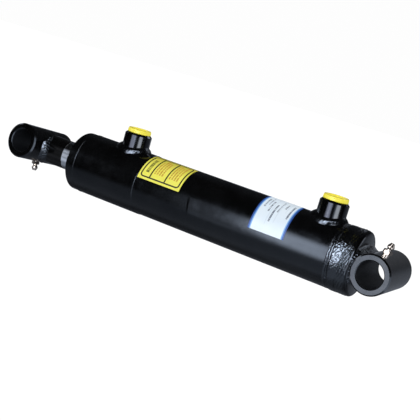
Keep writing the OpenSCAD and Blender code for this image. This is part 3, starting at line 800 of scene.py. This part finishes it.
def floor():
    """Pale floor far below the object, which gloss doesn't see."""
    size = 30.0
    corners = [(x * size, y * size, FLOOR_Z) for x, y in ((-1, -1), (1, -1), (1, 1), (-1, 1))]
    mesh = bpy.data.meshes.new("floor")
    mesh.from_pydata(corners, [], [(0, 1, 2, 3)])
    material = bpy.data.materials.new("floor")
    material.use_nodes = True
    shader = material.node_tree.nodes["Principled BSDF"]
    shader.inputs["Base Color"].default_value = (0.6, 0.6, 0.6, 1)
    shader.inputs["Roughness"].default_value = 0.9
    shader.inputs["Specular IOR Level"].default_value = 0.0
    shader.inputs["Emission Color"].default_value = (1, 1, 1, 1)
    shader.inputs["Emission Strength"].default_value = 0.4
    mesh.materials.append(material)
    obj = bpy.data.objects.new("floor", mesh)
    bpy.context.scene.collection.objects.link(obj)
    obj.visible_glossy = False


def soften(data, soft):
    """Make a softbox fade out towards its edges, over that fraction of its width."""
    data.use_nodes = True
    tree = data.node_tree
    emission = next(n for n in tree.nodes if n.type == "EMISSION")
    place = tree.nodes.new("ShaderNodeNewGeometry")
    parts = tree.nodes.new("ShaderNodeSeparateXYZ")
    tree.links.new(place.outputs["Parametric"], parts.inputs[0])
    product = None
    for axis in (0, 1):
        away = tree.nodes.new("ShaderNodeMath")
        away.operation = "PINGPONG"
        away.inputs[1].default_value = 0.5
        tree.links.new(parts.outputs[axis], away.inputs[0])
        fade = tree.nodes.new("ShaderNodeMapRange")
        fade.interpolation_type = "SMOOTHSTEP"
        fade.inputs["From Max"].default_value = soft
        tree.links.new(away.outputs[0], fade.inputs["Value"])
        if product is None:
            product = fade.outputs[0]
            continue
        both_axes = tree.nodes.new("ShaderNodeMath")
        both_axes.operation = "MULTIPLY"
        tree.links.new(product, both_axes.inputs[0])
        tree.links.new(fade.outputs[0], both_axes.inputs[1])
        product = both_axes.outputs[0]
    tree.links.new(product, emission.inputs["Strength"])


def link_light(light, pieces, state):
    """Let a light reach these pieces only (INCLUDE), or all but them (EXCLUDE)."""
    group = bpy.data.collections.new(light.name + "_receivers")
    for piece in pieces:
        group.objects.link(piece)
    for entry in group.collection_objects:
        entry.light_linking.link_state = state
    light.light_linking.receiver_collection = group


def panel(name, turn, rise, distance, radiance, about=BARREL_MIDDLE, colour=DAYLIGHT, soft=0.2,
          only=None, but=None):
    """A softbox seen from the point about between two compass angles and two heights, in degrees.

    The compass angle is 0 towards +Y and grows towards +X. It lights glossy surfaces only, of the
    pieces in only or of all but the pieces in but.
    """
    middle = math.radians(sum(turn) / 2)
    height = math.radians(sum(rise) / 2)
    level = math.cos(height)
    away = Vector((math.sin(middle) * level, math.cos(middle) * level, math.sin(height)))
    data = bpy.data.lights.new(name, "AREA")
    data.shape = "RECTANGLE"
    data.size = 2 * distance * math.tan(math.radians(turn[1] - turn[0]) / 2)
    data.size_y = 2 * distance * math.tan(math.radians(rise[1] - rise[0]) / 2)
    data.energy = radiance * math.pi * data.size * data.size_y
    data.color = colour
    soften(data, soft)
    obj = bpy.data.objects.new(name, data)
    bpy.context.scene.collection.objects.link(obj)
    obj.location = Vector(about) + away * distance
    obj.rotation_mode = "QUATERNION"
    obj.rotation_quaternion = away.to_track_quat("Z", "Y")
    obj.visible_camera = False
    obj.visible_diffuse = False
    if only:
        link_light(obj, only, "INCLUDE")
    if but:
        link_light(obj, but, "EXCLUDE")


def world():
    """White all round for the eye and for matt surfaces; gloss sees a dark room with a dim floor."""
    made = bpy.data.worlds.new("studio")
    made.use_nodes = True
    tree = made.node_tree
    back = tree.nodes["Background"]

    def node(kind, inputs, **settings):
        item = tree.nodes.new(kind)
        for key, value in settings.items():
            setattr(item, key, value)
        for key, value in inputs.items():
            if isinstance(value, bpy.types.NodeSocket):
                tree.links.new(value, item.inputs[key])
            else:
                item.inputs[key].default_value = value
        return item

    def ramp(value, low, high, to_low, to_high):
        inputs = {"Value": value, "From Min": low, "From Max": high,
                  "To Min": to_low, "To Max": to_high}
        settings = {"clamp": True, "interpolation_type": "SMOOTHSTEP"}
        return node("ShaderNodeMapRange", inputs, **settings).outputs[0]

    def times(a, b):
        return node("ShaderNodeMath", {0: a, 1: b}, operation="MULTIPLY").outputs[0]

    def number_mix(mask, a, b):
        return node("ShaderNodeMix", {0: mask, 2: a, 3: b}, data_type="FLOAT").outputs[0]

    way = tree.nodes.new("ShaderNodeTexCoord").outputs["Generated"]
    x, y, z = node("ShaderNodeSeparateXYZ", {0: way}).outputs
    # The dim floor: brightest low on the camera's side, dimmer straight below and behind
    lower = times(ramp(z, -0.5, -0.22, 0.46, 0.0), ramp(z, -0.97, -0.9, 0.3, 1.0))
    lower = times(lower, ramp(x, 0.3, 0.5, 1.0, 0.5))
    lower = times(lower, ramp(y, -0.35, 0.1, 0.28, 1.0))
    # The wall behind: brightest a little below level
    behind = ramp(y, -0.6, -0.2, 1.0, 0.0)
    level = times(ramp(z, -0.5, -0.3, 0.06, 0.22), ramp(z, -0.1, 0.3, 1.0, 0.12))
    rear = times(behind, level)
    gloss = node("ShaderNodeMath", {0: lower, 1: rear}, operation="MAXIMUM").outputs[0]
    path = tree.nodes.new("ShaderNodeLightPath").outputs
    for_matt, for_eye = 1.12, 0.985
    matt = number_mix(path["Is Camera Ray"], for_matt, for_eye)
    strength = number_mix(path["Is Glossy Ray"], matt, gloss)
    tints = {0: path["Is Glossy Ray"], 6: (1, 1, 1, 1), 7: (0.84, 0.92, 1.08, 1)}
    tint = node("ShaderNodeMix", tints, data_type="RGBA")
    tree.links.new(tint.outputs[2], back.inputs["Color"])
    tree.links.new(strength, back.inputs["Strength"])
    bpy.context.scene.world = made


def camera():
    """Camera at the photograph's viewing angle, fitted to the cylinder's edges."""
    azimuth, elevation, roll = (math.radians(v) for v in (206.76, 9.0, 16.05))
    place = Vector((-0.19592, 0.75611, 0.13240))
    # Focal length and image width in pixels, sensor width in millimetres
    focal, image, sensor = 851.2, 420.0, 36.0
    level = math.cos(elevation)
    back = Vector((math.sin(azimuth) * level, -math.cos(azimuth) * level, math.sin(elevation)))
    right = Vector((0, 0, 1)).cross(back).normalized()
    up = back.cross(right)
    x_axis = right * math.cos(roll) + up * math.sin(roll)
    y_axis = up * math.cos(roll) - right * math.sin(roll)
    data = bpy.data.cameras.new("camera")
    data.sensor_width = sensor
    data.lens = sensor * focal / image
    data.clip_start, data.clip_end = 0.01, 100
    obj = bpy.data.objects.new("camera", data)
    bpy.context.scene.collection.objects.link(obj)
    turn = Matrix((x_axis, y_axis, back)).transposed().to_4x4()
    obj.matrix_world = Matrix.Translation(place) @ turn
    bpy.context.scene.camera = obj


floor()
world()
camera()

# Pieces that some lights are meant for or kept from, and points that lights stand about
bosses = [nodes["base_port_boss"], nodes["rod_port_boss"]]
rod = [nodes["rod"]]
base_eye = [nodes["base_cross_tube"]]
rod_eye = [nodes["rod_cross_tube"]]
beads = [base_bead, eye_bead, rod_bead] + port_beads
dark_from_behind = base_eye + rod_eye + beads + [nodes["base_cap"]]
BASE_PIN = (0, 0, 0)
ROD_PIN = (0.41, 0, 0)
ROD_MIDDLE = (0.36, 0, 0)

panel("core", (-13, 11), (-1, 46), 0.72, 12.0)
panel("key", (7, 29), (-30, 34), 0.72, 6.8, soft=0.38, but=bosses)
panel("key_edge", (20, 37), (-36, 26), 0.8, 0.5, but=bosses)
panel("ring_low", (0, 10), (-18, -3), 0.72, 5.4, colour=(0.97, 0.95, 1.0), soft=0.15)
panel("left", (-74, -31), (-48, 22), 0.8, 1.6)
panel("right", (46, 68), (-5, 26), 2.8, 3.0, but=bosses + port_beads + rod_eye)
panel("end", (84, 108), (6, 32), 2.0, 2.8, but=port_beads)
panel("rear", (164, 198), (-12, 20), 0.55, 0.6, about=(0.33, 0, 0), soft=0.4)
panel("rear_high", (174, 202), (26, 50), 2.0, 3.0, soft=0.3, but=dark_from_behind)
panel("rear_beads", (174, 202), (26, 50), 2.0, 1.0, soft=0.3, only=beads)
panel("rod_edge", (112, 146), (-25, 22), 1.0, 0.55, about=ROD_PIN, only=rod_eye)
panel("rod_edge_left", (-74, -31), (-40, 40), 0.8, 2.6, about=ROD_PIN, only=rod_eye)
panel("bead_front", (-12, 27), (-12, 42), 0.72, 7.0, soft=0.3, only=[base_bead])
panel("rear_left", (221, 250), (6, 24), 1.2, 2.0)
panel("base_end", (262, 284), (6, 24), 2.0, 0.8)
panel("rod_broad", (33, 58), (-46, 42), 0.9, 0.36, about=ROD_MIDDLE, soft=0.25, only=rod)
panel("rod_bright", (32, 43), (-15, 12), 0.9, 0.3, about=ROD_MIDDLE, soft=0.3, only=rod)
panel("ring_left", (92, 116), (-34, -3), 1.2, 2.0, about=BASE_PIN, soft=0.25, only=base_eye)
panel("eye_top", (140, 215), (6, 50), 1.2, 0.13, about=BASE_PIN, soft=0.3, only=base_eye)
panel("ring_right", (-104, -62), (-48, 12), 1.0, 2.0, about=BASE_PIN, soft=0.15, only=base_eye)
panel("boss_left", (-14, 28), (-24, 12), 2.5, 5.5, colour=(0.88, 0.86, 1.0), only=bosses)
panel("boss_right", (-74, -40), (-24, 12), 2.5, 7.0, colour=(1.0, 0.95, 0.92), only=bosses + port_beads)
panel("fillet", (-50, 15), (36, 60), 2.5, 5.0, soft=0.25, only=port_beads)
panel("eye_rear", (170, 198), (6, 30), 0.8, 0.6, about=(0, 0, 0.015), only=[eye_bead])

scene = bpy.context.scene
scene.view_settings.view_transform = "Standard"
scene.view_settings.look = "None"
